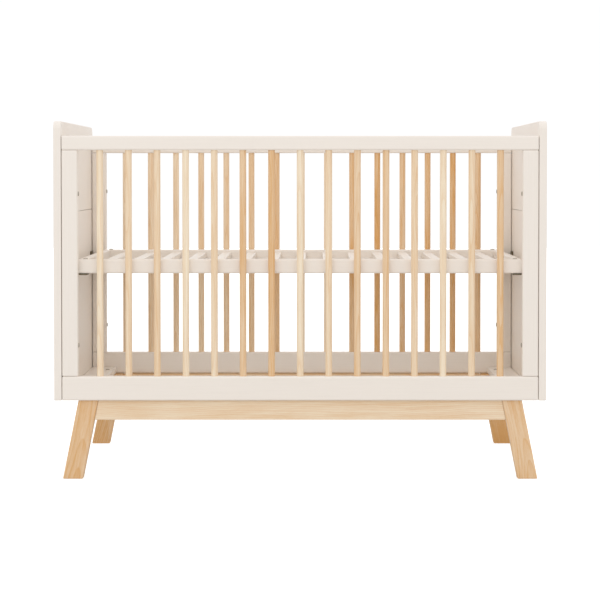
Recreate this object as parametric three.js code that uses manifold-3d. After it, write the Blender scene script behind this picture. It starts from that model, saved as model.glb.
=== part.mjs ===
// A baby crib for a 600 x 1200 mm mattress: two solid end panels, two barred sides, a slatted
// mattress base hung on four corner brackets, and a splayed wooden leg frame underneath.
// Millimetres, +Z up. X runs along the crib, Y from the front side (-Y) to the back side (+Y).
// The origin is on the floor, under the middle of the crib.
import * as THREE from "three";
import { mergeVertices } from "three/addons/utils/BufferGeometryUtils.js";
import Module from "manifold-3d";

const wasm = await Module();
wasm.setup();

// ---- Driving dimensions ----

const INNER_LENGTH = 1204; // between the end panels, for a 1200 mattress
const DEPTH = 656; // over the end panels' front and back edges
const FIT = 0.3; // gap left between two pieces that touch

const PANEL = { thick: 19, bottom: 200, top: 905, cornerRadius: 18 };
const SIDE = { thick: 25, gap: 1, recess: 1, bottom: 200, top: 868 };
const FRAME = { topRail: 36, bottomRail: 61, stile: 40.5 }; // widths of a side's rails and uprights
const SPINDLE = { count: 15, pitch: 72.2, diameter: 17, tenon: 12, sides: 16 };
const PLANK = { width: 69, thick: 18 };
const LEG = { width: 50, thick: 28, recess: 12, topOuter: 561, splay: 40 };
const APRON = { height: 50, thick: 22, recess: 2 };
const BASE = { top: 556, height: 36, railThick: 20, endThick: 18, halfLength: 565, halfDepth: 300 };
const SLAT = { count: 15, pitch: 71.3, width: 25, thick: 15, top: 548.5, ledgeDepth: 14, bite: 1 };
const BRACKET = { thick: 4, shelfEnd: 539, width: 36, top: 552, edge: 1 };
const BOLT = { hole: 6, insertHole: 9, insertDepth: 13, boreSides: 12 };
const GROOVE = { height: 672, width: 2.4, depth: 1.2 }; // a fine line across each panel's inner face

const SIDE_BOLT_HEIGHTS = [339, 722];
const BASE_STEPS = [0, -145, -290]; // the heights that the base can be bolted at, from the top one
const BASE_BOLT_Y = 281;
const BASE_BOLT_HEIGHT = 536;
const BRACKET_BOLT_X = 545;
const PLANK_BOLT_Y = 228;
const EDGE_RADIUS = 3; // softened long edges of painted and natural wood
const THIN_EDGE_RADIUS = 1.5;
const ARC_STEPS = 2; // segments of each softened edge
const CUT_MARGIN = 1; // how far a cutting tool stands past the face that it enters

// ---- Worked out from them ----

const halfInner = INNER_LENGTH / 2;
const halfDepth = DEPTH / 2;
const sideLength = INNER_LENGTH - 2 * SIDE.gap;
const sideY = halfDepth - SIDE.recess - SIDE.thick / 2; // middle of a side's thickness
const sideInnerY = sideY - SIDE.thick / 2;
const boreRadius = SPINDLE.diameter / 2 + FIT;
const bottomRailTop = SIDE.bottom + FRAME.bottomRail;
const topRailBottom = SIDE.top - FRAME.topRail;
const legTop = PANEL.bottom - FIT;
const slope = LEG.splay / PANEL.bottom; // outward lean of the legs, mm per mm of height

// ---- Materials ----

const paint = new THREE.MeshStandardMaterial({ color: 0xe9e0d6, roughness: 0.45, metalness: 0 });
const naturalWood = new THREE.MeshStandardMaterial({ color: 0xe3c299, roughness: 0.5, metalness: 0 });
const platedSteel = new THREE.MeshStandardMaterial({ color: 0x8f857a, roughness: 0.4, metalness: 0.8 });

// ---- Shapes ----

const X_AXIS = new THREE.Vector3(1, 0, 0);
const Y_AXIS = new THREE.Vector3(0, 1, 0);
const Z_AXIS = new THREE.Vector3(0, 0, 1);

// A rectangle with its corners rounded, centred on the origin.
function roundedRectangle(width, height, radius) {
  const [w, h] = [width / 2, height / 2];
  const shape = new THREE.Shape();
  shape.moveTo(w, -h + radius);
  shape.absarc(w - radius, h - radius, radius, 0, Math.PI / 2);
  shape.absarc(-w + radius, h - radius, radius, Math.PI / 2, Math.PI);
  shape.absarc(-w + radius, -h + radius, radius, Math.PI, 1.5 * Math.PI);
  shape.absarc(w - radius, -h + radius, radius, 1.5 * Math.PI, 2 * Math.PI);
  return shape;
}

// Extrudes a shape to the given length, centred on the origin along Z.
function extrude(shape, length) {
  const geometry = new THREE.ExtrudeGeometry(shape, {
    depth: length,
    bevelEnabled: false,
    curveSegments: ARC_STEPS,
  });
  return geometry.translate(0, 0, -length / 2);
}

// Bars with four softened long edges, running along X, Y or Z and centred on the origin.
function barAlongX(length, depth, height, radius = EDGE_RADIUS) {
  return extrude(roundedRectangle(height, depth, radius), length).rotateY(Math.PI / 2);
}

function barAlongY(width, length, height, radius = EDGE_RADIUS) {
  return extrude(roundedRectangle(width, height, radius), length).rotateX(Math.PI / 2);
}

function barAlongZ(width, depth, length, radius = EDGE_RADIUS) {
  return extrude(roundedRectangle(width, depth, radius), length);
}

// A prism between a front and a back plane, from its outline in X and Z.
function prismAlongY(outline, nearY, farY) {
  const shape = new THREE.Shape(outline.map(([x, z]) => new THREE.Vector2(x, z)));
  const thickness = farY - nearY;
  return extrude(shape, thickness)
    .rotateX(Math.PI / 2)
    .translate(0, (nearY + farY) / 2, 0);
}

// A cylinder between two points on a line along the given axis.
function rod(radius, axis, from, to, sides) {
  const start = new THREE.Vector3(...from);
  const end = new THREE.Vector3(...to);
  const geometry = new THREE.CylinderGeometry(radius, radius, start.distanceTo(end), sides);
  geometry.applyQuaternion(new THREE.Quaternion().setFromUnitVectors(Y_AXIS, axis));
  const middle = start.add(end).multiplyScalar(0.5);
  return geometry.translate(middle.x, middle.y, middle.z);
}

function box(low, high) {
  const size = high.map((value, i) => value - low[i]);
  const middle = high.map((value, i) => (value + low[i]) / 2);
  return new THREE.BoxGeometry(...size).translate(...middle);
}

// ---- Joining and cutting ----

function toSolid(geometry) {
  const bare = geometry.index ? geometry.toNonIndexed() : geometry.clone();
  bare.deleteAttribute("normal");
  bare.deleteAttribute("uv");
  const merged = mergeVertices(bare, 1e-4);
  return new wasm.Manifold(
    new wasm.Mesh({
      numProp: 3,
      vertProperties: merged.attributes.position.array,
      triVerts: new Uint32Array(merged.index.array),
    }),
  );
}

function toGeometry(solid) {
  const mesh = solid.getMesh();
  const positions = new Float32Array(mesh.numVert * 3);
  for (let i = 0; i < mesh.numVert; i++)
    positions.set(mesh.vertProperties.subarray(i * mesh.numProp, i * mesh.numProp + 3), i * 3);
  return new THREE.BufferGeometry()
    .setAttribute("position", new THREE.BufferAttribute(positions, 3))
    .setIndex(new THREE.BufferAttribute(mesh.triVerts, 1));
}

function cut(geometry, tools) {
  return toGeometry(tools.reduce((left, tool) => left.subtract(toSolid(tool)), toSolid(geometry)));
}

function join(pieces) {
  return toGeometry(pieces.map(toSolid).reduce((sum, piece) => sum.add(piece)));
}

// ---- The crib ----

const crib = new THREE.Group();

function add(name, geometry, material, [x, y, z] = [0, 0, 0]) {
  const mesh = new THREE.Mesh(geometry, material);
  mesh.name = name;
  mesh.position.set(x, y, z);
  crib.add(mesh);
}

const ENDS = [
  { label: "left", sign: -1 },
  { label: "right", sign: 1 },
];
const FACES = [
  { label: "front", sign: -1 },
  { label: "back", sign: 1 },
];

// X of each piece of an evenly spaced row that is centred on the crib.
function rowOf({ count, pitch }) {
  return Array.from({ length: count }, (_, i) => (i - (count - 1) / 2) * pitch);
}

const spindleXs = rowOf(SPINDLE);

// A solid board whose two top corners are rounded in the side view. Its inner face has a fine
// groove across it, and blind holes for the inserts that take the side bolts and base bolts.
function endPanel(sign) {
  const [low, high, r] = [PANEL.bottom, PANEL.top, PANEL.cornerRadius];
  const outline = new THREE.Shape();
  outline.moveTo(-halfDepth, low);
  outline.lineTo(halfDepth, low);
  outline.absarc(halfDepth - r, high - r, r, 0, Math.PI / 2);
  outline.absarc(-halfDepth + r, high - r, r, Math.PI / 2, Math.PI);
  const board = new THREE.ExtrudeGeometry(outline, {
    depth: PANEL.thick,
    bevelEnabled: false,
    curveSegments: 6,
  });
  // The outline's first axis becomes Y, its second Z, and the thickness runs along X.
  const basis = new THREE.Matrix4().makeBasis(Y_AXIS, Z_AXIS, X_AXIS);
  const innerX = sign * halfInner;
  board.applyMatrix4(basis).translate(sign > 0 ? innerX : innerX - PANEL.thick, 0, 0);

  const spots = SIDE_BOLT_HEIGHTS.map((z) => [sideY, z]).concat(
    BASE_STEPS.map((step) => [BASE_BOLT_Y, BASE_BOLT_HEIGHT + step]),
  );
  const inserts = FACES.flatMap((face) =>
    spots.map(([y, z]) =>
      rod(
        BOLT.insertHole / 2,
        X_AXIS,
        [innerX - sign * CUT_MARGIN, face.sign * y, z],
        [innerX + sign * BOLT.insertDepth, face.sign * y, z],
        BOLT.boreSides,
      ),
    ),
  );
  const groove = new THREE.CylinderGeometry(GROOVE.width / 2, GROOVE.width / 2, DEPTH + 2 * CUT_MARGIN, 4);
  groove.scale((2 * GROOVE.depth) / GROOVE.width, 1, 1).translate(innerX, 0, GROOVE.height);
  return cut(board, [...inserts, groove]);
}

// A rail with a row of blind bores that the spindle ends sit in. The bores open at mouthZ.
function boredRail(height, centreZ, mouthZ, inward) {
  const rail = barAlongX(sideLength, SIDE.thick, height).translate(0, 0, centreZ);
  const bores = spindleXs.map((x) =>
    rod(
      boreRadius,
      Z_AXIS,
      [x, 0, mouthZ + inward * CUT_MARGIN],
      [x, 0, mouthZ - inward * (SPINDLE.tenon + FIT)],
      SPINDLE.sides,
    ),
  );
  return cut(rail, bores);
}

// An upright between the rails, with two holes across it for the bolts into the end panel.
function stile(x) {
  const length = topRailBottom - bottomRailTop - 2 * FIT;
  const post = barAlongZ(FRAME.stile, SIDE.thick, length);
  post.translate(x, 0, (topRailBottom + bottomRailTop) / 2);
  const reach = FRAME.stile / 2 + CUT_MARGIN;
  const holes = SIDE_BOLT_HEIGHTS.map((z) =>
    rod(BOLT.hole / 2, X_AXIS, [x - reach, 0, z], [x + reach, 0, z], BOLT.boreSides),
  );
  return cut(post, holes);
}

function spindle() {
  const [low, high] = [bottomRailTop - SPINDLE.tenon, topRailBottom + SPINDLE.tenon];
  return rod(SPINDLE.diameter / 2, Z_AXIS, [0, 0, low], [0, 0, high], SPINDLE.sides);
}

function addSide({ label, sign }) {
  const y = sign * sideY;
  const topRail = boredRail(FRAME.topRail, SIDE.top - FRAME.topRail / 2, topRailBottom, -1);
  const bottomRail = boredRail(FRAME.bottomRail, SIDE.bottom + FRAME.bottomRail / 2, bottomRailTop, 1);
  add(`${label}_top_rail`, topRail, paint, [0, y, 0]);
  add(`${label}_bottom_rail`, bottomRail, paint, [0, y, 0]);
  for (const end of ENDS) {
    const x = end.sign * (sideLength / 2 - FRAME.stile / 2);
    add(`${label}_stile_${end.label}`, stile(x), paint, [0, y, 0]);
  }
  spindleXs.forEach((x, i) => {
    const number = String(i + 1).padStart(2, "0");
    add(`${label}_spindle_${number}`, spindle(), naturalWood, [x, y, 0]);
  });
}

// A board across the foot of each end panel, which the leg frame is bolted up to.
function addPlank({ label, sign }) {
  const inner = halfInner - FIT;
  const length = 2 * (sideInnerY - FIT);
  const board = barAlongY(PLANK.width, length, PLANK.thick, THIN_EDGE_RADIUS);
  const hole = (y) =>
    rod(BOLT.hole / 2, Z_AXIS, [0, y, -PLANK.thick], [0, y, PLANK.thick], BOLT.boreSides);
  const place = [sign * (inner - PLANK.width / 2), 0, PANEL.bottom + PLANK.thick / 2];
  // The holes stand over the middle of the end apron's top edge.
  const across = sign * (LEG.topOuter - APRON.thick / 2) - place[0];
  const holes = FACES.map((face) => hole(face.sign * PLANK_BOLT_Y).translate(across, 0, 0));
  add(`bottom_plank_${label}`, cut(board, holes), paint, place);
}

// X of a face of the leg frame that leans outwards, at height z.
const leaning = (sign, topX, z) => sign * (topX + slope * (PANEL.bottom - z));

// The outline in X and Z of a leaning member between two heights.
function leaningOutline(sign, outerX, width, low, high) {
  return [
    [leaning(sign, outerX, low), low],
    [leaning(sign, outerX, high), high],
    [leaning(sign, outerX - width, high), high],
    [leaning(sign, outerX - width, low), low],
  ];
}

const legFaceY = halfDepth - LEG.recess;
const legBackY = legFaceY - LEG.thick;

function addLegFrame() {
  for (const face of FACES) {
    const nearFar = [face.sign * legFaceY, face.sign * legBackY].sort((a, b) => a - b);
    for (const end of ENDS) {
      const outline = leaningOutline(end.sign, LEG.topOuter, LEG.width, 0, legTop);
      add(`leg_${face.label}_${end.label}`, prismAlongY(outline, ...nearFar), naturalWood);
    }
    // The long apron's ends follow the legs' lean.
    const apronLow = legTop - APRON.height;
    const apronX = LEG.topOuter - LEG.width - FIT;
    const outline = [
      [leaning(-1, apronX, apronLow), apronLow],
      [leaning(1, apronX, apronLow), apronLow],
      [leaning(1, apronX, legTop), legTop],
      [leaning(-1, apronX, legTop), legTop],
    ];
    const outerY = legFaceY - APRON.recess;
    const apronYs = [face.sign * outerY, face.sign * (outerY - APRON.thick)].sort((a, b) => a - b);
    add(`${face.label}_apron`, prismAlongY(outline, ...apronYs), naturalWood);
  }
  for (const end of ENDS) {
    const outline = leaningOutline(end.sign, LEG.topOuter, APRON.thick, legTop - APRON.height, legTop);
    add(`end_apron_${end.label}`, prismAlongY(outline, -legBackY + FIT, legBackY - FIT), naturalWood);
  }
}

// ---- The mattress base ----

const baseBottom = BASE.top - BASE.height;
const baseCentre = BASE.top - BASE.height / 2;
const baseRailInnerY = BASE.halfDepth - BASE.railThick;

function addBaseFrame() {
  for (const face of FACES) {
    const y = face.sign * (BASE.halfDepth - BASE.railThick / 2);
    const rail = barAlongX(2 * BASE.halfLength, BASE.railThick, BASE.height);
    const holes = ENDS.map((end) => {
      const x = end.sign * BRACKET_BOLT_X;
      return rod(BOLT.hole / 2, Z_AXIS, [x, 0, -BASE.height], [x, 0, BASE.height], BOLT.boreSides);
    });
    add(`base_${face.label}_rail`, cut(rail, holes), paint, [0, y, baseCentre]);
  }
  for (const end of ENDS) {
    const x = end.sign * (BASE.halfLength - BASE.endThick / 2);
    const rail = barAlongY(BASE.endThick, 2 * (baseRailInnerY - FIT), BASE.height);
    add(`base_end_rail_${end.label}`, rail, paint, [x, 0, baseCentre]);
  }
}

// Slats across the base, lying on a ledge strip along each long rail, a little below its top.
function slatRack() {
  const reach = baseRailInnerY - FIT;
  const ledgeTop = SLAT.top - SLAT.thick;
  const ledgeX = BASE.halfLength - BASE.endThick - FIT;
  const ledges = FACES.map((face) => {
    const [near, far] = [face.sign * (reach - SLAT.ledgeDepth), face.sign * reach].sort((a, b) => a - b);
    return box([-ledgeX, near, baseBottom], [ledgeX, far, ledgeTop]);
  });
  const slats = rowOf(SLAT).map((x) => {
    const low = ledgeTop - SLAT.bite;
    const bar = barAlongY(SLAT.width, 2 * reach, SLAT.top - low, THIN_EDGE_RADIUS);
    return bar.translate(x, 0, (SLAT.top + low) / 2);
  });
  return join([...ledges, ...slats]);
}

// A steel angle under each corner of the base. Its upright leaf is bolted flat to the end
// panel, beyond the end of the base, and its shelf carries the base's long rail.
function bracket(xSign, ySign) {
  const leafOuter = halfInner - FIT;
  const leafInner = leafOuter - BRACKET.thick;
  const top = baseBottom - FIT;
  const outerY = BASE.halfDepth - BRACKET.edge;
  const mirrored = (x, y, z) => [xSign * x, ySign * y, z];
  const corners = (a, b) => [a.map((v, i) => Math.min(v, b[i])), a.map((v, i) => Math.max(v, b[i]))];
  const plate = (a, b) => box(...corners(mirrored(...a), mirrored(...b)));
  const low = top - BRACKET.thick;
  const shelf = plate([BRACKET.shelfEnd, outerY - BRACKET.width, low], [leafOuter, outerY, top]);
  const leaf = plate([leafInner, outerY - BRACKET.width, low], [leafOuter, outerY, BRACKET.top]);
  const railY = BASE.halfDepth - BASE.railThick / 2;
  const drill = (axis, a, b) =>
    rod(BOLT.hole / 2, axis, mirrored(...a), mirrored(...b), BOLT.boreSides);
  return cut(join([shelf, leaf]), [
    drill(Z_AXIS, [BRACKET_BOLT_X, railY, low - CUT_MARGIN], [BRACKET_BOLT_X, railY, top + CUT_MARGIN]),
    drill(
      X_AXIS,
      [leafInner - CUT_MARGIN, BASE_BOLT_Y, BASE_BOLT_HEIGHT],
      [leafOuter + CUT_MARGIN, BASE_BOLT_Y, BASE_BOLT_HEIGHT],
    ),
  ]);
}

for (const end of ENDS) add(`end_panel_${end.label}`, endPanel(end.sign), paint);
for (const face of FACES) addSide(face);
for (const end of ENDS) addPlank(end);
addLegFrame();
addBaseFrame();
add("base_slat_rack", slatRack(), paint);
for (const face of FACES)
  for (const end of ENDS)
    add(`base_bracket_${face.label}_${end.label}`, bracket(end.sign, face.sign), platedSteel);

export default crib;
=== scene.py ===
"""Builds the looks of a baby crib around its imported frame: smooth boards, turned spindles,
bolts, finishes, and a plain white studio."""

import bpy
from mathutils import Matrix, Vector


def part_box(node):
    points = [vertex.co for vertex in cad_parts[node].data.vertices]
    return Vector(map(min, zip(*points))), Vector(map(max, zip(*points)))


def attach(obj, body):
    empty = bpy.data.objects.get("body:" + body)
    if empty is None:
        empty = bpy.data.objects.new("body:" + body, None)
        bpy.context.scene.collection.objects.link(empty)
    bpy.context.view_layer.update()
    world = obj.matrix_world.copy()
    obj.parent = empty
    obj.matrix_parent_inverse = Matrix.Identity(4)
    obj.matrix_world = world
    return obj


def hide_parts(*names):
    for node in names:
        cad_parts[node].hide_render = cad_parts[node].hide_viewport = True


bl_info = {
    "name": "Baby Crib",
    "version": (1, 0, 0),
    "blender": (4, 5, 0),
    "location": "3D View > Sidebar > Crib",
    "description": "Builds a baby crib piece by piece around its packed frame",
    "category": "Add Mesh",
}

import bpy
import numpy as np
from bpy.props import FloatProperty, FloatVectorProperty, IntProperty, PointerProperty
from bpy.types import Operator, Panel, PropertyGroup
from mathutils import Vector

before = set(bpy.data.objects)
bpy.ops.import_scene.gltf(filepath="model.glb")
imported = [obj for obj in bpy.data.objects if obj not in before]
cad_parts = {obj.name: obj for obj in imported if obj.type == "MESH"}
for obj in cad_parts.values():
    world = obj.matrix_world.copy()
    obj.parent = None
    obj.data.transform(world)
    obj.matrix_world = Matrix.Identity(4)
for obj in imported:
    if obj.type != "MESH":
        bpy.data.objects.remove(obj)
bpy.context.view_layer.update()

FRAME_BODY = "crib_frame"
BASE_BODY = "mattress_base"
FACES = ("front", "back")
ENDS = ("left", "right")

# How honey-coloured each spindle is, from left to right, in the front side and the back side; the
# back side's darker values are partly painted shade.
FRONT_TONES = (0.25, 0.4, 0.5, 0.2, 0.3, 0.65, 0.75, 0.2, 0.4, 0.6, 0.6, 0.3, 0.2, 0.45, 0.7)
BACK_TONES_WITH_SHADE = (0.45, 0.45, 0.4, 0.45, 0.5, 0.55, 0.7, 0.25, 0.4, 0.75, 0.9, 0.7, 0.85, 0.85, 0.7)


# The same for the legs: front left, front right, back left, back right; the back legs' darker
# values are partly painted shade.
LEG_TONES_WITH_SHADE = (0.70, 0.62, 0.74, 0.90)

EDGE_MARGIN = 0.0008  # width of the narrow band that keeps a flat face flat beside a soft edge
CORNER_EXTRA = 0.001  # how much larger an outline's corners are than its softened edges
SLATS = {"count": 15, "pitch": 0.0713, "width": 0.025, "thick": 0.015, "ledge": 0.014}
SLAT_SOFTNESS = 0.0015
BRACKET_THICKNESS = 0.004
SIDE_BOLT_HEIGHTS = (0.339, 0.722)
RAIL_BOLT_X = 0.545
PANEL_BOLT_Y, PANEL_BOLT_HEIGHT = 0.281, 0.536
PLANK_BOLT_X, PLANK_BOLT_Y = 0.549, 0.228


# ---------------------------------------------------------------- sizes and colours


class CribSizes(PropertyGroup):
    rail_softness: FloatProperty(
        name="Rail softness",
        description="Radius of the softened edges of rails, stiles and slats",
        default=0.003,
        subtype="DISTANCE",
        unit="LENGTH",
    )
    panel_softness: FloatProperty(
        name="Panel softness",
        description="Radius of the softened edges of the end panels and bottom planks",
        default=0.002,
        subtype="DISTANCE",
        unit="LENGTH",
    )
    leg_softness: FloatProperty(
        name="Leg softness",
        description="Radius of the softened edges of the legs and aprons",
        default=0.0014,
        subtype="DISTANCE",
        unit="LENGTH",
    )
    panel_corner: FloatProperty(
        name="Panel corner",
        description="Radius of the end panels' top corners, seen from the side",
        default=0.018,
        subtype="DISTANCE",
        unit="LENGTH",
    )
    groove_height: FloatProperty(
        name="Groove height",
        description="Height of the fine groove across each panel's inner face",
        default=0.672,
        subtype="DISTANCE",
        unit="LENGTH",
    )
    groove_width: FloatProperty(
        name="Groove width",
        description="Width of that groove at its mouth",
        default=0.0016,
        subtype="DISTANCE",
        unit="LENGTH",
    )
    soft_steps: IntProperty(
        name="Edge steps", description="Segments across each softened edge", default=4, min=2
    )
    round_steps: IntProperty(
        name="Round steps", description="Segments around each spindle", default=40, min=16
    )
    bolt_radius: FloatProperty(
        name="Bolt radius",
        description="Radius of the domed bolt heads",
        default=0.006,
        subtype="DISTANCE",
        unit="LENGTH",
    )
    bolt_height: FloatProperty(
        name="Bolt height",
        description="How far the domed bolt heads stand proud",
        default=0.0022,
        subtype="DISTANCE",
        unit="LENGTH",
    )


class CribColours(PropertyGroup):
    paint: FloatVectorProperty(
        name="Paint",
        description="Warm off-white paint",
        default=(0.910, 0.838, 0.760),
        subtype="COLOR",
        size=3,
        min=0,
        max=1,
    )
    pale_wood: FloatVectorProperty(
        name="Pale wood",
        description="The lightest natural wood",
        default=(0.955, 0.825, 0.635),
        subtype="COLOR",
        size=3,
        min=0,
        max=1,
    )
    honey_wood: FloatVectorProperty(
        name="Honey wood",
        description="The warmest natural wood",
        default=(0.725, 0.385, 0.125),
        subtype="COLOR",
        size=3,
        min=0,
        max=1,
    )
    steel: FloatVectorProperty(
        name="Steel",
        description="Zinc plating of the bolts and brackets",
        default=(0.50, 0.46, 0.40),
        subtype="COLOR",
        size=3,
        min=0,
        max=1,
    )


class CribStudio(PropertyGroup):
    eye: FloatVectorProperty(
        name="Eye",
        description="Where the camera stands",
        default=(0.0349, -4.8754, 0.7707),
        subtype="TRANSLATION",
        unit="LENGTH",
        size=3,
    )
    lens: FloatProperty(
        name="Lens", description="Focal length", default=108.458, subtype="DISTANCE_CAMERA"
    )
    tilt: FloatProperty(
        name="Tilt",
        description="How far the camera looks down",
        default=0.0263,
        subtype="ANGLE",
        unit="ROTATION",
    )
    shift: FloatVectorProperty(
        name="Shift",
        description="Sideways and vertical lens shift",
        default=(-0.0233, -0.13),
        size=2,
    )
    key_power: FloatProperty(
        name="Key power", description="Power of the high front light", default=34, unit="POWER"
    )
    sky: FloatProperty(
        name="Sky", description="Strength of the even light from all round", default=1.0
    )


# ---------------------------------------------------------------- surfaces


def polygon(corners, radii, steps, margin):
    """Points and outward normals round a polygon whose corners are rounded. A corner's arc has
    its centre at corner - R (n0 + n1) / (1 + n0.n1), with n0 and n1 the normals of the edges
    that meet there, and its points at centre + R n, as n turns from n0 to n1. A corner that
    turns inwards has R negative. One more point lies a margin along each edge from each arc."""
    c = np.asarray(corners, float)
    if np.sum(c[:, 0] * np.roll(c[:, 1], -1) - c[:, 1] * np.roll(c[:, 0], -1)) < 0:
        c, radii = c[::-1], radii[::-1]
    edge = np.roll(c, -1, 0) - c
    edge /= np.linalg.norm(edge, axis=1)[:, None]
    normal = np.stack([edge[:, 1], -edge[:, 0]], 1)
    before, along_before = np.roll(normal, 1, 0), np.roll(edge, 1, 0)
    turn = along_before[:, 0] * edge[:, 1] - along_before[:, 1] * edge[:, 0]
    radius = (np.asarray(radii, float) * np.sign(turn))[:, None, None]
    sweep = np.arctan2(turn, np.sum(along_before * edge, 1))
    start = np.arctan2(before[:, 1], before[:, 0])
    angle = start[:, None] + sweep[:, None] * np.linspace(0, 1, steps + 1)[None, :]
    arc_normal = np.stack([np.cos(angle), np.sin(angle)], 2)
    meet = (before + normal) / (1 + np.sum(before * normal, 1))[:, None]
    arc = c[:, None, :] - radius * meet[:, None, :] + radius * arc_normal
    points = np.concatenate(
        [arc[:, :1] - margin * along_before[:, None], arc, arc[:, -1:] + margin * edge[:, None]], 1
    )
    normals = np.concatenate([arc_normal[:, :1], arc_normal, arc_normal[:, -1:]], 1)
    bend = np.sin(np.pi * np.linspace(0, 1, steps + 1))
    bend = np.tile(np.concatenate([[0], bend, [0]]), (len(c), 1))
    return points.reshape(-1, 2), normals.reshape(-1, 2), bend.reshape(-1)


def ring_faces(rows, columns):
    """Quads that join each row of a grid to the next one, closed round the columns."""
    r, c = np.meshgrid(np.arange(rows - 1), np.arange(columns), indexing="ij")
    n = (c + 1) % columns
    row, following = r * columns, (r + 1) * columns
    quads = np.stack([row + c, row + n, following + n, following + c], 2)
    return quads.reshape(-1, 4).tolist()


def slab(corners, radii, low, high, axis, soft, groove=None):
    """Vertices, faces and edge weights of a board. Its outline is a rounded polygon in the plane
    across the axis. Towards each of its two faces the outline is drawn in by soft (1 - cos a)
    while the height climbs by soft sin a, so every long edge is a quarter circle. A groove is
    a V across the lower or upper face at the given value of the outline's second coordinate."""
    steps = bpy.context.scene.crib_sizes.soft_steps
    points, normals, bend = polygon(corners, radii, steps, EDGE_MARGIN)
    if groove:
        points, normals, bend = with_groove_columns(points, normals, bend, groove)
    a = np.linspace(0, np.pi / 2, steps + 1)
    inset = np.concatenate([[soft + EDGE_MARGIN], soft * (1 - np.sin(a)), [0]])
    height = np.concatenate([[0], soft * (1 - np.cos(a)), [soft + EDGE_MARGIN]])
    rounding = np.concatenate([[0], np.sin(2 * a), [0]])
    inset = np.concatenate([inset, inset[::-1]])
    height = np.concatenate([low + height, high - height[::-1]])
    rounding = np.concatenate([rounding, rounding[::-1]])
    flat = points[None] - inset[:, None, None] * normals[None]
    h = np.broadcast_to(height[:, None, None], flat.shape[:2] + (1,))
    grid = np.concatenate([flat, h], 2).reshape(-1, 3)
    weight = np.maximum(rounding[:, None], bend[None]).reshape(-1)
    rows, columns = len(inset), len(points)
    faces = ring_faces(rows, columns)
    bottom = list(range(columns))[::-1]
    top = list(range((rows - 1) * columns, rows * columns))
    if groove and groove["side"] < 0:
        grid, weight, more = grooved_face(grid, weight, bottom, groove, low)
        faces += more + [top]
    elif groove:
        grid, weight, more = grooved_face(grid, weight, top, groove, high)
        faces += more + [bottom]
    else:
        faces += [bottom, top]
    return np.roll(grid, {"Z": 0, "X": 1, "Y": 2}[axis], 1), faces, weight


def with_groove_columns(points, normals, bend, groove):
    """Adds a column of points to both of the outline's straight sides at each lip of the groove,
    in order round the outline."""
    lips = groove["at"] + groove["width"] * np.array([-0.5, 0.5])
    following = np.roll(points, -1, 0)
    crossed = (points[:, 1:] - lips) * (following[:, 1:] - lips) < 0
    where, which = np.nonzero(crossed)
    along = np.abs(lips[which] - points[where, 1])
    order = np.lexsort((along, where))
    where, which = where[order], which[order]
    made = np.stack([points[where, 0], lips[which]], 1)
    return (
        np.insert(points, where + 1, made, 0),
        np.insert(normals, where + 1, normals[where], 0),
        np.insert(bend, where + 1, 0.0),
    )


def grooved_face(grid, weight, loop, groove, level):
    """Closes a face with a V groove: two flat halves, the V's two sides, and its two ends."""
    loop = np.array(loop)
    above = grid[loop, 1] > groove["at"]
    start = np.flatnonzero(above & ~np.roll(above, 1))[0]
    loop, above = np.roll(loop, -start), np.roll(above, -start)
    upper, lower = loop[above], loop[~above]
    bed = np.array([len(grid), len(grid) + 1])
    deep = level - groove["side"] * groove["depth"]
    ends = [[grid[upper[k], 0], groove["at"], deep] for k in (0, -1)]
    grid = np.concatenate([grid, ends])
    weight = np.concatenate([weight, [0, 0]])
    faces = [
        upper,
        lower,
        [upper[0], upper[-1], bed[1], bed[0]][::-1],
        [lower[0], lower[-1], bed[0], bed[1]][::-1],
        [upper[-1], lower[0], bed[1]],
        [lower[-1], upper[0], bed[0]],
    ]
    return grid, weight, [[int(i) for i in face] for face in faces]


def rod(radius, low, high, at, steps, chamfer=0.0008):
    """A round rod along Z: a circle carried up the axis, its radius smaller at both ends by the
    chamfer. A second row close to each chamfer keeps the rest straight in the light."""
    angle = np.linspace(0, 2 * np.pi, steps, endpoint=False)
    radii = radius - chamfer * np.array([1, 0, 0, 0, 0, 0, 1])
    up = np.array([0, chamfer, 3 * chamfer])
    heights = np.concatenate([low + up, [(low + high) / 2], high - up[::-1]])
    x = at[0] + radii[:, None] * np.cos(angle)[None]
    y = at[1] + radii[:, None] * np.sin(angle)[None]
    z = np.broadcast_to(heights[:, None], x.shape)
    grid = np.stack([x, y, z], 2).reshape(-1, 3)
    rows = len(radii)
    faces = ring_faces(rows, steps)
    faces += [list(range(steps))[::-1], list(range((rows - 1) * steps, rows * steps))]
    return grid, faces, np.zeros(len(grid))


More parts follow.
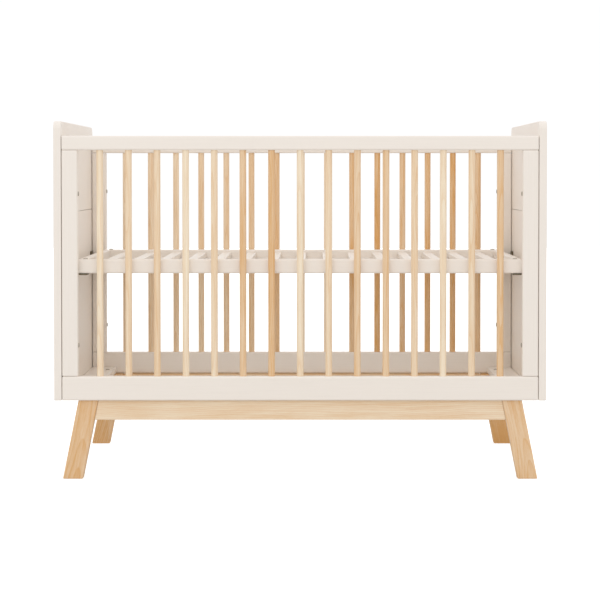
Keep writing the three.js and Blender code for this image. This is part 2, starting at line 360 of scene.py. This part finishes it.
def bolt(at, axis, steps=36):
    """A domed bolt head with a hexagon socket, standing at a point on a face, with its axis
    along the face's normal. The profile runs from under the face, out to the rim, over the dome
    and down the socket's wall. In the socket the radius at angle t is r / cos(t'), with t'
    measured from the middle of the nearest flat."""
    sizes = bpy.context.scene.crib_sizes
    radius, height = sizes.bolt_radius, sizes.bolt_height
    angle = np.linspace(0, 2 * np.pi, steps, endpoint=False)
    hexagon = 1 / np.cos((angle + np.pi / 6) % (np.pi / 3) - np.pi / 6)
    dome = np.linspace(0.15, 1, 6) * np.pi / 2
    socket = radius * 0.42
    outer = radius * np.cos(dome * 0.62)
    climb = height * np.sin(dome)
    rim = radius * np.array([0.9, 0.985, 1])
    wall = socket * np.array([1.12, 1, 1])
    climb = np.maximum(climb, height * 0.2)
    radii = np.concatenate([rim, outer, wall])
    sunk = -0.0005
    heights = np.concatenate([[sunk, 0, height * 0.12], climb, height * np.array([1, 0.9, 0.25])])
    hexness = np.array([0] * 9 + [0.75, 1, 1])
    shape = 1 + hexness[:, None] * (hexagon[None] - 1)
    e3 = np.asarray(axis, float)
    e1 = np.array([0.0, 1, 0]) if abs(e3[1]) < 0.5 else np.array([1.0, 0, 0])
    e2 = np.cross(e3, e1)
    around = np.cos(angle)[:, None] * e1 + np.sin(angle)[:, None] * e2
    grid = (radii[:, None] * shape)[:, :, None] * around[None] + heights[:, None, None] * e3
    grid = grid.reshape(-1, 3) + np.asarray(at, float)
    rows = len(radii)
    faces = ring_faces(rows, steps)
    faces += [list(range(steps))[::-1], list(range((rows - 1) * steps, rows * steps))]
    return grid, faces, np.zeros(len(grid))


def together(shapes):
    """Several shapes as one: their vertices in a row, and their faces' numbers moved on."""
    offsets = np.cumsum([0] + [len(v) for v, _, _ in shapes[:-1]])
    faces = [[i + int(o) for i in f] for (_, fs, _), o in zip(shapes, offsets) for f in fs]
    vertices = np.concatenate([v for v, _, _ in shapes])
    return vertices, faces, np.concatenate([w for _, _, w in shapes])


def piece(
    name, shape, material, body, nodes=(), tone=0.5, heart=(0, 0, 0), lean=(0.01, 0.04)
):
    """Makes a mesh object from vertices, faces and edge weights, and gives it its finish. Tone,
    heart and lean are the same all over a piece: how dark its wood or plating is, where the
    tree's heart lay, and how far the heart leans away from the grain's axis."""
    vertices, faces, weight = shape
    mesh = bpy.data.meshes.new(name)
    mesh.from_pydata(vertices.tolist(), [], faces)
    for attribute, kind, values in (
        ("edge", "FLOAT", weight),
        ("tone", "FLOAT", np.full(len(vertices), tone)),
        ("heart", "FLOAT_VECTOR", np.tile(np.asarray(heart, float), (len(vertices), 1))),
        ("lean", "FLOAT_VECTOR", np.tile((*lean, 0.0), (len(vertices), 1))),
    ):
        data = mesh.attributes.new(attribute, kind, "POINT").data
        data.foreach_set("vector" if kind == "FLOAT_VECTOR" else "value", values.reshape(-1))
    mesh.polygons.foreach_set("use_smooth", np.array([len(face) == 4 for face in faces]))
    mesh.materials.append(material)
    mesh.update()
    obj = bpy.data.objects.new(name, mesh)
    bpy.context.scene.collection.objects.link(obj)
    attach(obj, body)
    if nodes:
        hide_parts(*nodes)
    return obj


def rectangle(low, high):
    """The four corners between a lowest and a highest corner."""
    return [(low[0], low[1]), (high[0], low[1]), (high[0], high[1]), (low[0], high[1])]


def even_radii(soft):
    """The radii of an outline's four corners, a little larger than its softened edges."""
    return [soft + CORNER_EXTRA] * 4


def board(node, axis, soft):
    """The slab that fills a CAD node's box, with its outline across the given axis."""
    low, high = (np.array(v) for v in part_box(node))
    order = {"X": (1, 2, 0), "Y": (2, 0, 1), "Z": (0, 1, 2)}[axis]
    a, b, h = order
    corners = rectangle((low[a], low[b]), (high[a], high[b]))
    return slab(corners, even_radii(soft), low[h], high[h], axis, soft)


# ---------------------------------------------------------------- finishes


def socket(group, name, kind, default=None, output=False):
    """Adds a named input or output to a node group."""
    made = group.interface.new_socket(
        name=name, in_out="OUTPUT" if output else "INPUT", socket_type="NodeSocket" + kind
    )
    if default is not None:
        made.default_value = default
    return made


class Nodes:
    """Adds nodes to a tree from left to right and links them."""

    def __init__(self, tree):
        self.tree = tree
        self.count = 0

    def add(self, kind, inputs=None, **settings):
        node = self.tree.nodes.new("ShaderNode" + kind)
        node.location = (200 * (self.count % 8), -260 * (self.count // 8))
        self.count += 1
        for key, value in settings.items():
            setattr(node, key, value)
        for key, value in (inputs or {}).items():
            if isinstance(value, bpy.types.NodeSocket):
                self.tree.links.new(value, node.inputs[key])
            else:
                node.inputs[key].default_value = value
        return node

    def math(self, operation, a, b=None, clamp=False):
        values = {0: a} if b is None else {0: a, 1: b}
        return self.add("Math", values, operation=operation, use_clamp=clamp).outputs[0]

    def vector(self, operation, a, b):
        return self.add("VectorMath", {0: a, 1: b}, operation=operation).outputs[0]

    def noise(self, place, scale, detail=2.0, roughness=0.5):
        wanted = {"Vector": place, "Scale": scale, "Detail": detail, "Roughness": roughness}
        return self.add("TexNoise", wanted).outputs["Fac"]

    def span(self, value, low, high, to_low=0.0, to_high=1.0):
        wanted = {0: value, 1: low, 2: high, 3: to_low, 4: to_high}
        return self.add("MapRange", wanted).outputs[0]

    def mix(self, factor, a, b, blend="MIX"):
        node = self.add("Mix", data_type="RGBA", blend_type=blend)
        for key, value in ((0, factor), (6, a), (7, b)):
            if isinstance(value, bpy.types.NodeSocket):
                self.tree.links.new(value, node.inputs[key])
            else:
                node.inputs[key].default_value = value
        return node.outputs[2]


def new_group(name):
    """An empty shader node group, and the helper that adds nodes to it."""
    group = bpy.data.node_groups.new(name, "ShaderNodeTree")
    return group, Nodes(group)


def timber_figure():
    """Shared wood figure. The grain runs along Z of the place that it is given. Growth rings are
    the distance from the tree's heart, which leans, so that a flat face shows arches; slow
    noise bends them. Fibres are noise drawn out along Z."""
    name = "timber_figure"
    if name in bpy.data.node_groups:
        return bpy.data.node_groups[name]
    group, n = new_group(name)
    for words in (
        ("Place", "Vector"),
        ("Lean", "Vector"),
        ("Tone", "Float", 0.5),
        ("Edge", "Float", 0.0),
        ("Pale", "Color", (0.8, 0.6, 0.4, 1)),
        ("Honey", "Color", (0.6, 0.4, 0.2, 1)),
        ("Rings per metre", "Float", 190.0),
        ("Figure", "Float", 0.26),
    ):
        socket(group, *words)
    for words in (("Color", "Color"), ("Roughness", "Float"), ("Height", "Float")):
        socket(group, *words, output=True)
    come = group.nodes.new("NodeGroupInput")
    along = n.add("SeparateXYZ", {0: come.outputs["Place"]}).outputs["Z"]
    aside = n.add("VectorMath", {0: come.outputs["Lean"], "Scale": along}, operation="SCALE")
    place = n.vector("ADD", come.outputs["Place"], aside.outputs[0])
    slow = n.vector("MULTIPLY", place, (7.0, 7.0, 2.2))
    bent = n.add("TexNoise", {"Vector": slow, "Scale": 1.0, "Detail": 2.0}).outputs["Color"]
    bent = n.vector("SUBTRACT", bent, (0.5, 0.5, 0.5))
    bent = n.vector("MULTIPLY", bent, (0.05, 0.05, 0.0))
    trunk = n.vector("MULTIPLY", place, (1.0, 1.0, 0.0))
    trunk = n.vector("ADD", trunk, bent)
    reach = n.add("VectorMath", {0: trunk}, operation="LENGTH").outputs["Value"]
    years = n.math("MULTIPLY", reach, come.outputs["Rings per metre"])
    ring = n.math("FRACT", years)
    late = n.math("POWER", ring, 2.6)
    soften = n.span(ring, 0.93, 1.0, 1.0, 0.0)
    late = n.math("MULTIPLY", late, soften)
    fibre_place = n.vector("MULTIPLY", place, (1.0, 1.0, 0.018))
    fibre = n.noise(fibre_place, 900.0, 3.0, 0.6)
    streak = n.noise(n.vector("MULTIPLY", place, (1.0, 1.0, 0.04)), 130.0, 2.0)
    cloud = n.noise(n.vector("MULTIPLY", place, (1.0, 1.0, 0.3)), 9.0, 2.0)
    fleck = n.noise(n.vector("MULTIPLY", place, (1.0, 1.0, 0.16)), 1300.0, 1.0)
    fleck = n.span(fleck, 0.64, 0.72)
    depth = n.math("MULTIPLY", late, come.outputs["Figure"])
    depth = n.math("ADD", depth, n.span(fibre, 0.3, 0.7, -0.10, 0.10))
    depth = n.math("ADD", depth, n.span(streak, 0.3, 0.7, -0.12, 0.12))
    depth = n.math("ADD", depth, n.span(cloud, 0.3, 0.7, -0.12, 0.12))
    depth = n.math("ADD", depth, n.math("MULTIPLY", fleck, 0.12))
    depth = n.math("ADD", depth, come.outputs["Tone"], clamp=True)
    colour = n.mix(depth, come.outputs["Pale"], come.outputs["Honey"])
    # Softened edges are lightened towards cream: partly wear, partly a painted highlight on the
    # rounded edge.
    colour = n.mix(n.math("MULTIPLY", come.outputs["Edge"], 0.12), colour, (1, 0.93, 0.82, 1))
    rough = n.span(fibre, 0.3, 0.7, 0.40, 0.52)
    height = n.math("SUBTRACT", n.math("MULTIPLY", fibre, 0.5), n.math("MULTIPLY", fleck, 0.6))
    leave = group.nodes.new("NodeGroupOutput")
    for key, value in (("Color", colour), ("Roughness", rough), ("Height", height)):
        group.links.new(value, leave.inputs[key])
    return group


def paint_skin():
    """Shared painted surface: a faint sprayed ripple, the board's grain showing through a little,
    slow changes of tint, and a lighter tint along the edges: partly thin paint, partly painted
    highlight."""
    name = "paint_skin"
    if name in bpy.data.node_groups:
        return bpy.data.node_groups[name]
    group, n = new_group(name)
    for words in (
        ("Place", "Vector"),
        ("Edge", "Float", 0.0),
        ("Paint", "Color", (0.8, 0.75, 0.7, 1)),
        ("Edge wear and highlight", "Color", (0.9, 0.85, 0.8, 1)),
        ("Wear and highlight", "Float", 0.3),
    ):
        socket(group, *words)
    for words in (("Color", "Color"), ("Roughness", "Float"), ("Height", "Float")):
        socket(group, *words, output=True)
    come = group.nodes.new("NodeGroupInput")
    place = come.outputs["Place"]
    cloud = n.noise(place, 5.0, 3.0)
    ripple = n.noise(place, 420.0, 2.0)
    grain = n.noise(n.vector("MULTIPLY", place, (1.0, 1.0, 0.02)), 380.0, 3.0, 0.6)
    scuff = n.span(n.noise(place, 38.0, 4.0, 0.65), 0.5, 0.72)
    tint = n.mix(n.span(cloud, 0.3, 0.7, 0.0, 0.35), come.outputs["Paint"], (0.910, 0.835, 0.75, 1))
    tint = n.mix(n.span(grain, 0.45, 0.75, 0.0, 0.05), tint, (0.55, 0.47, 0.38, 1))
    # Along the softened edges the paint is lightened, partly as thin rubbed paint and partly as a
    # painted highlight on the rounded edge.
    edge_wear_and_highlight = n.math("MULTIPLY", come.outputs["Edge"], come.outputs["Wear and highlight"])
    edge_wear_and_highlight = n.math("MULTIPLY", edge_wear_and_highlight, n.math("ADD", n.math("MULTIPLY", scuff, 0.5), 0.5), clamp=True)
    tint = n.mix(edge_wear_and_highlight, tint, come.outputs["Edge wear and highlight"])
    rough = n.math("ADD", n.span(cloud, 0.3, 0.7, 0.38, 0.46), n.math("MULTIPLY", scuff, 0.06))
    height = n.math("ADD", n.math("MULTIPLY", ripple, 0.5), n.math("MULTIPLY", grain, 0.4))
    leave = group.nodes.new("NodeGroupOutput")
    for key, value in (("Color", tint), ("Roughness", rough), ("Height", height)):
        group.links.new(value, leave.inputs[key])
    return group


# The turn that carries each grain axis to Z.
GRAIN_TURN = {"X": (0, -np.pi / 2, 0), "Y": (np.pi / 2, 0, 0), "Z": (0, 0, 0)}


def start_material(name):
    """A material that holds only its output and its shader."""
    material = bpy.data.materials.new(name)
    material.use_nodes = True
    material.node_tree.nodes.clear()
    n = Nodes(material.node_tree)
    out = n.add("OutputMaterial")
    shader = n.add("BsdfPrincipled")
    material.node_tree.links.new(shader.outputs[0], out.inputs[0])
    return material, n, shader


def turned_place(n, grain="Z", heart=None):
    """Object coordinates, measured from the tree's heart where one is given, and turned so that
    the grain's axis becomes Z."""
    place = n.add("TexCoord").outputs["Object"]
    if heart is not None:
        place = n.vector("SUBTRACT", place, heart)
    return n.add("Mapping", {"Vector": place, "Rotation": GRAIN_TURN[grain]}).outputs[0]


def finish_links(n, shader, group_node, strength, distance):
    """Links a surface group's colour, roughness and height to the shader."""
    links = n.tree.links
    links.new(group_node.outputs["Color"], shader.inputs["Base Color"])
    links.new(group_node.outputs["Roughness"], shader.inputs["Roughness"])
    bump = n.add(
        "Bump", {"Height": group_node.outputs["Height"], "Strength": strength, "Distance": distance}
    )
    links.new(bump.outputs[0], shader.inputs["Normal"])


def opaque(value):
    """A colour with its alpha."""
    return (*value, 1.0)


def natural_wood(grain):
    """Pale lacquered wood with its grain along X, Y or Z."""
    name = f"lacquered_wood_{grain.lower()}"
    if name in bpy.data.materials:
        return bpy.data.materials[name]
    colours = bpy.context.scene.crib_colours
    material, n, shader = start_material(name)
    figure = n.add("Group", node_tree=timber_figure())
    links = n.tree.links
    heart = n.add("Attribute", attribute_name="heart").outputs["Vector"]
    links.new(turned_place(n, grain, heart), figure.inputs["Place"])
    for attribute, output, key in (
        ("lean", "Vector", "Lean"),
        ("tone", "Fac", "Tone"),
        ("edge", "Fac", "Edge"),
    ):
        read = n.add("Attribute", attribute_name=attribute)
        links.new(read.outputs[output], figure.inputs[key])
    figure.inputs["Pale"].default_value = opaque(colours.pale_wood)
    figure.inputs["Honey"].default_value = opaque(colours.honey_wood)
    finish_links(n, shader, figure, 0.25, 0.0004)
    shader.inputs["Coat Weight"].default_value = 0.12
    shader.inputs["Coat Roughness"].default_value = 0.25
    shader.inputs["Specular IOR Level"].default_value = 0.4
    return material


def painted_wood(grain):
    """Satin off-white paint over a board whose grain runs along X, Y or Z."""
    name = f"satin_paint_{grain.lower()}"
    if name in bpy.data.materials:
        return bpy.data.materials[name]
    colours = bpy.context.scene.crib_colours
    material, n, shader = start_material(name)
    skin = n.add("Group", node_tree=paint_skin())
    links = n.tree.links
    links.new(turned_place(n, grain), skin.inputs["Place"])
    links.new(n.add("Attribute", attribute_name="edge").outputs["Fac"], skin.inputs["Edge"])
    skin.inputs["Paint"].default_value = opaque(colours.paint)
    finish_links(n, shader, skin, 0.12, 0.0003)
    shader.inputs["Specular IOR Level"].default_value = 0.45
    return material


def plated_steel():
    """Zinc-plated steel, satin, with a faint cloudy bloom and fine scratches. Tone takes it from
    bright plating to a dark brown."""
    name = "zinc_plated_steel"
    if name in bpy.data.materials:
        return bpy.data.materials[name]
    material, n, shader = start_material(name)
    place = turned_place(n)
    fine = n.noise(place, 1600.0, 3.0, 0.6)
    broad = n.noise(place, 90.0, 3.0)
    steel = opaque(bpy.context.scene.crib_colours.steel)
    tint = n.mix(n.span(broad, 0.35, 0.7), steel, (0.40, 0.36, 0.29, 1))
    tone = n.add("Attribute", attribute_name="tone").outputs["Fac"]
    tint = n.mix(tone, tint, (0.13, 0.10, 0.05, 1))
    links = n.tree.links
    links.new(tint, shader.inputs["Base Color"])
    links.new(n.span(broad, 0.3, 0.7, 0.36, 0.5), shader.inputs["Roughness"])
    bump = n.add("Bump", {"Height": fine, "Strength": 0.25, "Distance": 0.0002})
    links.new(bump.outputs[0], shader.inputs["Normal"])
    shader.inputs["Metallic"].default_value = 0.85
    return material


# ---------------------------------------------------------------- the crib's pieces


class CRIB_OT_end_panels(Operator):
    """Solid end panels with rounded top corners and a fine groove across the inner face"""

    bl_idname = "crib.end_panels"
    bl_label = "End panels"

    def execute(self, context):
        sizes = context.scene.crib_sizes
        soft, corner = sizes.panel_softness, sizes.panel_corner
        for end, side in zip(ENDS, (1, -1)):
            node = f"end_panel_{end}"
            low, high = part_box(node)
            corners = rectangle((low.y, low.z), (high.y, high.z))
            radii = even_radii(soft)[:2] + [corner, corner]
            groove = {
                "at": sizes.groove_height,
                "width": sizes.groove_width,
                "depth": sizes.groove_width / 2,
                "side": side,
            }
            shape = slab(corners, radii, low.x, high.x, "X", soft, groove)
            piece(f"panel_{end}", shape, painted_wood("Z"), FRAME_BODY, [node])
        return {"FINISHED"}


class CRIB_OT_side_rails(Operator):
    """Top and bottom rails of the two barred sides"""

    bl_idname = "crib.side_rails"
    bl_label = "Side rails"

    def execute(self, context):
        soft = context.scene.crib_sizes.rail_softness
        for face in FACES:
            for height in ("top", "bottom"):
                node = f"{face}_{height}_rail"
                shape = board(node, "X", soft)
                name = f"{height}_rail_{face}"
                piece(name, shape, painted_wood("X"), FRAME_BODY, [node])
        return {"FINISHED"}


class CRIB_OT_side_stiles(Operator):
    """Uprights at the ends of the two barred sides"""

    bl_idname = "crib.side_stiles"
    bl_label = "Side stiles"

    def execute(self, context):
        soft = context.scene.crib_sizes.rail_softness
        for face in FACES:
            for end in ENDS:
                node = f"{face}_stile_{end}"
                shape = board(node, "Z", soft)
                name = f"stile_{face}_{end}"
                piece(name, shape, painted_wood("Z"), FRAME_BODY, [node])
        return {"FINISHED"}


class CRIB_OT_spindles(Operator):
    """Round wooden spindles, each with its own tone and its own place in the tree; the back side's
    tones run darker, partly as painted shade
    """

    bl_idname = "crib.spindles"
    bl_label = "Spindles"

    def execute(self, context):
        chance = np.random.default_rng(11)
        steps = context.scene.crib_sizes.round_steps
        for face, tones in zip(FACES, (FRONT_TONES, BACK_TONES_WITH_SHADE)):
            for i, tone in enumerate(tones, 1):
                node = f"{face}_spindle_{i:02d}"
                low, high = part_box(node)
                centre = (low + high) / 2
                radius = (high.x - low.x) / 2
                shape = rod(radius, low.z, high.z, (centre.x, centre.y), steps)
                turn = chance.random() * 2 * np.pi
                away = 0.03 + 0.09 * chance.random()
                heart_x = centre.x + away * np.cos(turn)
                heart_y = centre.y + away * np.sin(turn)
                piece(
                    f"spindle_{face}_{i:02d}",
                    shape,
                    natural_wood("Z"),
                    FRAME_BODY,
                    [node],
                    tone - 0.13,
                    (heart_x, heart_y, 7 * chance.random()),
                    (0.004, 0.016),
                )
        return {"FINISHED"}


class CRIB_OT_bottom_planks(Operator):
    """Planks across the foot of each end panel"""

    bl_idname = "crib.bottom_planks"
    bl_label = "Bottom planks"

    def execute(self, context):
        soft = context.scene.crib_sizes.panel_softness
        for end in ENDS:
            node = f"bottom_plank_{end}"
            shape = board(node, "Y", soft)
            piece(f"plank_{end}", shape, painted_wood("Y"), FRAME_BODY, [node])
        return {"FINISHED"}


def slanted(node):
    """The outline corners of a leaning CAD prism: at its lowest and highest levels, its first and
    last place along X."""
    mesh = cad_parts[node].data
    co = np.empty(len(mesh.vertices) * 3)
    mesh.vertices.foreach_get("co", co)
    co = co.reshape(-1, 3)
    low, high = co[:, 2].min(), co[:, 2].max()
    foot = co[np.abs(co[:, 2] - low) < 1e-5, 0]
    head = co[np.abs(co[:, 2] - high) < 1e-5, 0]
    corners = [(low, foot.min()), (low, foot.max()), (high, head.max()), (high, head.min())]
    return corners, co[:, 1].min(), co[:, 1].max()


class CRIB_OT_legs(Operator):
    """Four splayed legs"""

    bl_idname = "crib.legs"
    bl_label = "Legs"

    def execute(self, context):
        soft = context.scene.crib_sizes.leg_softness
        for i, (face, end) in enumerate((f, e) for f in FACES for e in ENDS):
            node = f"leg_{face}_{end}"
            corners, low, high = slanted(node)
            shape = slab(corners, even_radii(soft), low, high, "Y", soft)
            side = 1 if end == "right" else -1
            heart = (side * (0.575 + 0.006 * i), low - 0.02 + 0.012 * i, 0.02 * i)
            lean = (side * 0.2, 0.05 + 0.02 * i)
            piece(
                f"splayed_{node}",
                shape,
                natural_wood("Z"),
                FRAME_BODY,
                [node],
                LEG_TONES_WITH_SHADE[i],
                heart,
                lean,
            )
        return {"FINISHED"}


class CRIB_OT_aprons(Operator):
    """Long aprons between the legs at the front and back, and short ones at the ends"""

    bl_idname = "crib.aprons"
    bl_label = "Aprons"

    def execute(self, context):
        soft = context.scene.crib_sizes.leg_softness
        for i, face in enumerate(FACES):
            node = f"{face}_apron"
            corners, low, high = slanted(node)
            shape = slab(corners, even_radii(soft), low, high, "Y", soft)
            heart = (-0.11 - 0.02 * i, low + 0.01, 0.0)
            # The back apron is darker than the front one, partly as painted shade.
            tone = 0.33 + 0.25 * i
            wood = natural_wood("X")
            piece(f"apron_{face}", shape, wood, FRAME_BODY, [node], tone, heart)
        for i, end in enumerate(ENDS):
            node = f"end_apron_{end}"
            corners, low, high = slanted(node)
            shape = slab(corners, even_radii(soft), low, high, "Y", soft)
            heart = (0.5 * i, 0.1, 0.2)
            wood = natural_wood("Y")
            piece(f"apron_{end}", shape, wood, FRAME_BODY, [node], 0.35, heart)
        return {"FINISHED"}


class CRIB_OT_base_rails(Operator):
    """Long rails and end rails of the mattress base"""

    bl_idname = "crib.base_rails"
    bl_label = "Base rails"

    def execute(self, context):
        soft = context.scene.crib_sizes.rail_softness
        rails = [(f"base_{face}_rail", face, "X") for face in FACES]
        rails += [(f"base_end_rail_{end}", end, "Y") for end in ENDS]
        for node, place, axis in rails:
            shape, paint = board(node, axis, soft), painted_wood(axis)
            piece(f"base_rail_{place}", shape, paint, BASE_BODY, [node])
        return {"FINISHED"}


class CRIB_OT_base_slats(Operator):
    """Slats of the mattress base, and the ledge strips that they lie on"""

    bl_idname = "crib.base_slats"
    bl_label = "Base slats"

    def execute(self, context):
        node = "base_slat_rack"
        low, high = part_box(node)
        count, half_width, ledge = SLATS["count"], SLATS["width"] / 2, SLATS["ledge"]
        ledge_top = high.z - SLATS["thick"]
        shapes = []
        for y0, y1 in ((low.y, low.y + ledge), (high.y - ledge, high.y)):
            corners = rectangle((y0, low.z), (y1, ledge_top))
            shapes.append(slab(corners, [0.002] * 4, low.x, high.x, "X", 0.001))
        for i in range(count):
            x = (i - (count - 1) / 2) * SLATS["pitch"]
            corners = rectangle((ledge_top, x - half_width), (high.z, x + half_width))
            radii = even_radii(SLAT_SOFTNESS)
            shapes.append(slab(corners, radii, low.y, high.y, "Y", SLAT_SOFTNESS))
        piece("base_slats", together(shapes), painted_wood("Y"), BASE_BODY, [node])
        return {"FINISHED"}


class CRIB_OT_brackets(Operator):
    """Steel angles that carry the corners of the mattress base"""

    bl_idname = "crib.brackets"
    bl_label = "Brackets"

    def execute(self, context):
        thick = BRACKET_THICKNESS
        for face in FACES:
            for end, side in zip(ENDS, (-1, 1)):
                node = f"base_bracket_{face}_{end}"
                low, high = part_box(node)
                wall, tip = (high.x, low.x) if side > 0 else (low.x, high.x)
                inner = wall - side * thick
                shelf = low.z + thick
                outer = [(low.z, tip), (low.z, wall), (high.z, wall)]
                corners = outer + [(high.z, inner), (shelf, inner), (shelf, tip)]
                radii = [0.0015, 0.005, 0.0015, 0.0015, 0.002, 0.0015]
                shape = slab(corners, radii, low.y, high.y, "Y", 0.0006)
                name, steel = f"bracket_{face}_{end}", plated_steel()
                piece(name, shape, steel, BASE_BODY, [node], 0.85)
        return {"FINISHED"}


def bolts_piece(name, shapes, body):
    """Bolt heads that belong together, as one piece in bright plating."""
    piece(name, together(shapes), plated_steel(), body, tone=0)


class CRIB_OT_side_bolts(Operator):
    """Bolts on the stiles' inner faces, which hold the sides to the end panels"""

    bl_idname = "crib.side_bolts"
    bl_label = "Side bolts"

    def execute(self, context):
        for face in FACES:
            for end, side in zip(ENDS, (-1, 1)):
                low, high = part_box(f"{face}_stile_{end}")
                x = high.x if side < 0 else low.x
                y = (low.y + high.y) / 2
                shapes = [bolt((x, y, z), (-side, 0, 0)) for z in SIDE_BOLT_HEIGHTS]
                bolts_piece(f"side_bolts_{face}_{end}", shapes, FRAME_BODY)
        return {"FINISHED"}


class CRIB_OT_base_bolts(Operator):
    """Bolts through the mattress base's long rails into the brackets, and through the brackets into
    the end panels"""

    bl_idname = "crib.base_bolts"
    bl_label = "Base bolts"

    def execute(self, context):
        for face, front in zip(FACES, (-1, 1)):
            rail_low, rail_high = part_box(f"base_{face}_rail")
            for end, side in zip(ENDS, (-1, 1)):
                low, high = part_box(f"base_bracket_{face}_{end}")
                leaf = (high.x if side > 0 else low.x) - side * BRACKET_THICKNESS
                top = (side * RAIL_BOLT_X, (rail_low.y + rail_high.y) / 2, rail_high.z)
                wall = (leaf, front * PANEL_BOLT_Y, PANEL_BOLT_HEIGHT)
                shapes = [bolt(top, (0, 0, 1)), bolt(wall, (-side, 0, 0))]
                bolts_piece(f"base_bolts_{face}_{end}", shapes, BASE_BODY)
        return {"FINISHED"}


class CRIB_OT_plank_bolts(Operator):
    """Bolts down through the bottom planks into the leg frame"""

    bl_idname = "crib.plank_bolts"
    bl_label = "Plank bolts"

    def execute(self, context):
        for end, side in zip(ENDS, (-1, 1)):
            x, top = side * PLANK_BOLT_X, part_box(f"bottom_plank_{end}")[1].z
            shapes = [bolt((x, y, top), (0, 0, 1)) for y in (-PLANK_BOLT_Y, PLANK_BOLT_Y)]
            bolts_piece(f"plank_bolts_{end}", shapes, FRAME_BODY)
        return {"FINISHED"}


# ---------------------------------------------------------------- the studio


def area_light(name, place, aim, size, power):
    """A soft rectangular light that faces the place that it is aimed at."""
    data = bpy.data.lights.new(name, "AREA")
    data.shape = "RECTANGLE"
    data.size, data.size_y = size
    data.energy = power
    light = bpy.data.objects.new(name, data)
    light.location = place
    light.rotation_euler = (Vector(aim) - Vector(place)).to_track_quat("-Z", "Y").to_euler()
    bpy.context.scene.collection.objects.link(light)


class CRIB_OT_stage(Operator):
    """Camera, soft studio lights, white surroundings and a pale floor"""

    bl_idname = "crib.stage"
    bl_label = "Stage"

    def execute(self, context):
        scene = context.scene
        studio = scene.crib_studio
        data = bpy.data.cameras.new("camera")
        data.lens, data.sensor_width = studio.lens, 36
        data.shift_x, data.shift_y = studio.shift
        data.clip_start, data.clip_end = 0.1, 60
        camera = bpy.data.objects.new("camera", data)
        camera.location = studio.eye
        camera.rotation_euler = (np.pi / 2 - studio.tilt, 0, 0)
        scene.collection.objects.link(camera)
        scene.camera = camera
        scene.view_settings.view_transform = "Standard"
        scene.view_settings.look = "None"

        area_light("key", (-1.7, -6.5, 3.3), (0, 0, 0.5), (4.0, 2.4), studio.key_power)

        world = bpy.data.worlds.new("white_surroundings")
        scene.world = world
        world.use_nodes = True
        world.node_tree.nodes.clear()
        n = Nodes(world.node_tree)
        seen = n.add("Background", {"Color": (1, 1, 1, 1), "Strength": 1.02})
        felt = n.add("Background", {"Color": (1, 1, 1.01, 1), "Strength": studio.sky})
        ray = n.add("LightPath").outputs["Is Camera Ray"]
        choose = n.add("MixShader", {0: ray, 1: felt.outputs[0], 2: seen.outputs[0]})
        out = n.add("OutputWorld")
        world.node_tree.links.new(choose.outputs[0], out.inputs[0])

        size = 14.0
        mesh = bpy.data.meshes.new("floor")
        corners = [(-size, -size, 0), (size, -size, 0), (size, size, 0), (-size, size, 0)]
        mesh.from_pydata(corners, [], [(0, 1, 2, 3)])
        floor = bpy.data.objects.new("floor", mesh)
        material, n, shader = start_material("pale_floor")
        soft = n.noise(turned_place(n), 3.0, 2.0)
        tint = n.mix(soft, (0.70, 0.70, 0.69, 1), (0.73, 0.73, 0.72, 1))
        n.tree.links.new(tint, shader.inputs["Base Color"])
        shader.inputs["Roughness"].default_value = 0.9
        shader.inputs["Specular IOR Level"].default_value = 0.1
        shader.inputs["Emission Color"].default_value = (1, 1, 1, 1)
        ray = n.add("LightPath").outputs["Is Camera Ray"]
        n.tree.links.new(n.math("MULTIPLY", ray, 0.6), shader.inputs["Emission Strength"])
        mesh.materials.append(material)
        scene.collection.objects.link(floor)
        return {"FINISHED"}


class CRIB_PT_builder(Panel):
    """Lists the crib's pieces and their sizes"""

    bl_label = "Crib"
    bl_idname = "CRIB_PT_builder"
    bl_space_type = "VIEW_3D"
    bl_region_type = "UI"
    bl_category = "Crib"

    def draw(self, context):
        for name in GROUPS:
            group = getattr(context.scene, name)
            box = self.layout.box()
            for key in group.__annotations__:
                box.prop(group, key)
        for operator in OPERATORS:
            self.layout.operator(operator.bl_idname)


GROUPS = {"crib_sizes": CribSizes, "crib_colours": CribColours, "crib_studio": CribStudio}

OPERATORS = (
    CRIB_OT_stage,
    CRIB_OT_end_panels,
    CRIB_OT_side_rails,
    CRIB_OT_side_stiles,
    CRIB_OT_spindles,
    CRIB_OT_bottom_planks,
    CRIB_OT_legs,
    CRIB_OT_aprons,
    CRIB_OT_base_rails,
    CRIB_OT_base_slats,
    CRIB_OT_brackets,
    CRIB_OT_side_bolts,
    CRIB_OT_base_bolts,
    CRIB_OT_plank_bolts,
)


def register():
    for made in (*GROUPS.values(), *OPERATORS, CRIB_PT_builder):
        bpy.utils.register_class(made)
    for name, group in GROUPS.items():
        setattr(bpy.types.Scene, name, PointerProperty(type=group))


def unregister():
    for name in GROUPS:
        delattr(bpy.types.Scene, name)
    for made in reversed((*GROUPS.values(), *OPERATORS, CRIB_PT_builder)):
        bpy.utils.unregister_class(made)


def main():
    register()
    for operator in OPERATORS:
        family, verb = operator.bl_idname.split(".")
        getattr(getattr(bpy.ops, family), verb)()
    bpy.context.view_layer.update()


if __name__ == "__main__":
    main()
